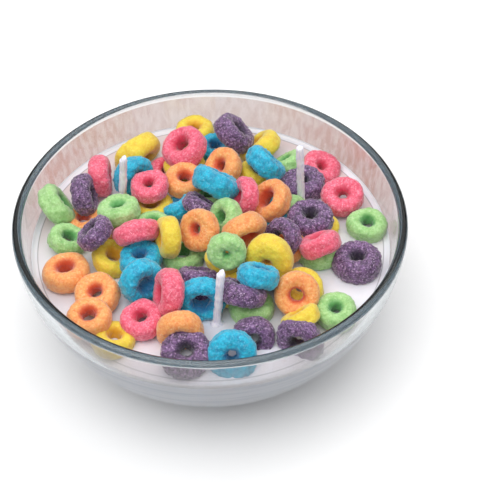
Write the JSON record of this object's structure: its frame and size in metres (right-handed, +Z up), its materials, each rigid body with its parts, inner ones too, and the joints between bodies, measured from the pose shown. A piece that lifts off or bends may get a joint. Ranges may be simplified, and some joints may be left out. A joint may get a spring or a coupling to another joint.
{
  "type": "cereal bowl candle",
  "caption": "Round clear glass bowl filled with white wax milk, heaped with coloured cereal rings and fitted with cotton wicks.",
  "frame": {"origin": "middle of the bowl's flat foot, at the surface it stands on", "axes": "+Z up through the bowl, -Y towards the wick in the middle front, +X to the right of it"},
  "size_m": [0.15, 0.15, 0.0745],
  "materials": {
    "glass": "clear polished pressed glass with a fire-polished rim",
    "milk_wax": "smooth opaque white wax, softly glossy",
    "wick_cotton": "white cotton cord stiffened with wax",
    "cereal_orange": "rough sugar-grained puffed ring, orange",
    "cereal_pink": "rough sugar-grained puffed ring, pink",
    "cereal_yellow": "rough sugar-grained puffed ring, yellow",
    "cereal_green": "rough sugar-grained puffed ring, green",
    "cereal_blue": "rough sugar-grained puffed ring, blue",
    "cereal_purple": "rough sugar-grained puffed ring, purple"
  },
  "bodies": {
    "root": {"glass_bowl": "glass", "milk": "milk_wax", "cereal_heap": "cereal_orange", "loop_yellow_back_left": "cereal_yellow", "loop_yellow_back": "cereal_yellow", "loop_pink_right": "cereal_pink", "loop_green_right": "cereal_green", "loop_purple_right": "cereal_purple", "loop_green_front_right": "cereal_green", "wick_left": "wick_cotton", "wick_middle": "wick_cotton", "wick_right": "wick_cotton"}
  },
  "joints": []
}
